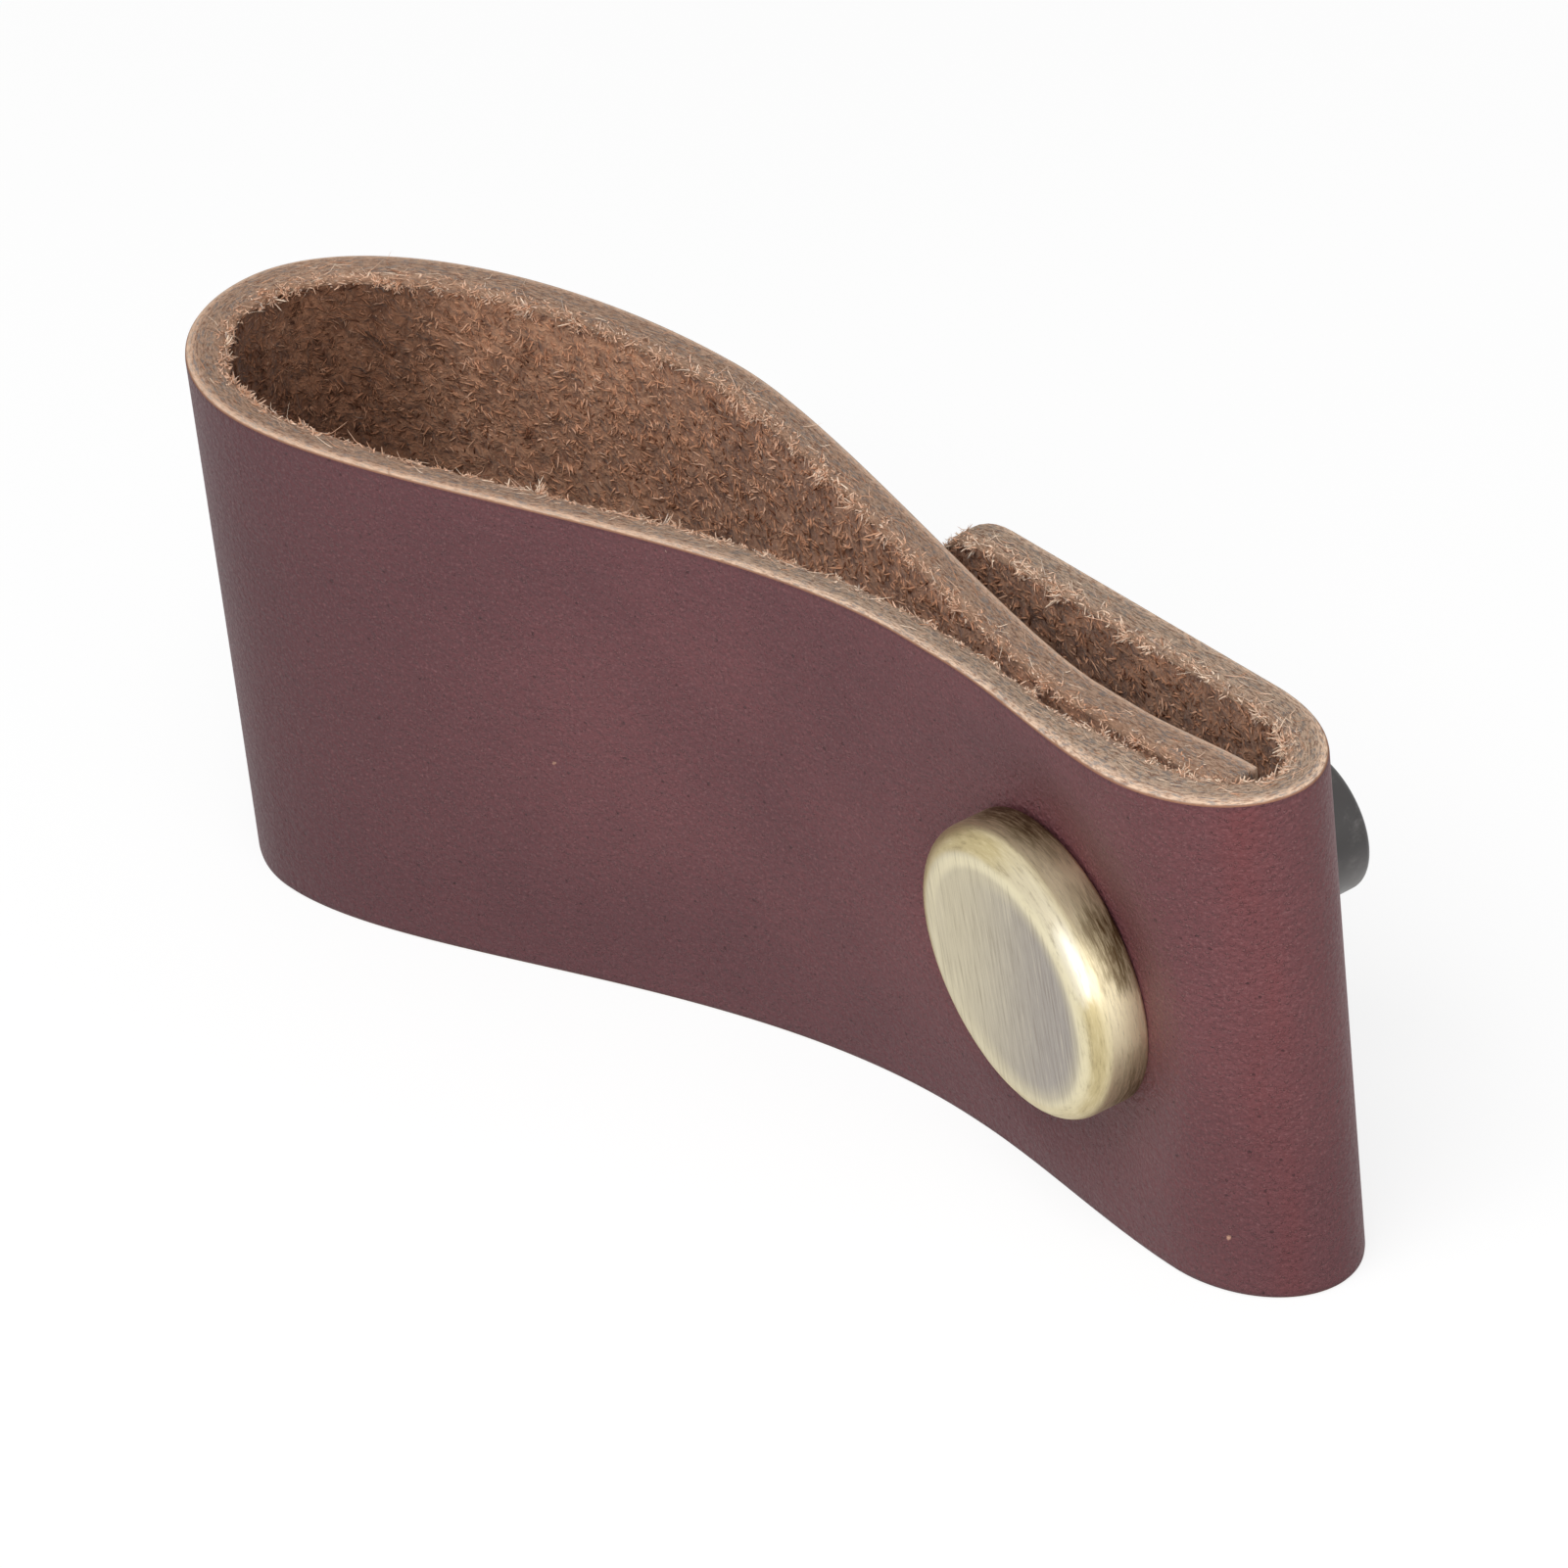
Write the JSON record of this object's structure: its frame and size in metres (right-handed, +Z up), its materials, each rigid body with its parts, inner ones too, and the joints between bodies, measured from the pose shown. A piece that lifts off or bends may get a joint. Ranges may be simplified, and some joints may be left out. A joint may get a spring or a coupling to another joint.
{
  "type": "leather cabinet pull",
  "caption": "Cabinet pull made of a wide leather strap folded into a finger loop, held by a round brass screw cap with a black sleeve behind.",
  "frame": {"origin": "middle of the object's box at its foot, the strap's lower cut edge; the screw axis is 29.65 mm along +X, 8.63 mm along +Y at the door face, and 17.5 mm up", "axes": "+X along the door from the loop to the fold, +Y into the door along the screw axis, +Z up along the strap's width"},
  "size_m": [0.0984, 0.0348, 0.035],
  "materials": {
    "leather": "oxblood smooth grain outside, brown suede flesh inside, raw tan cut edges",
    "antique_brass": "brushed and aged, darker on the side",
    "zinc_steel": "zinc plated",
    "black_plastic": "scuffed black"
  },
  "bodies": {
    "root": {"leather_strap": "leather", "brass_cap": "antique_brass", "threaded_stud": "zinc_steel", "black_sleeve": "black_plastic"}
  },
  "joints": []
}
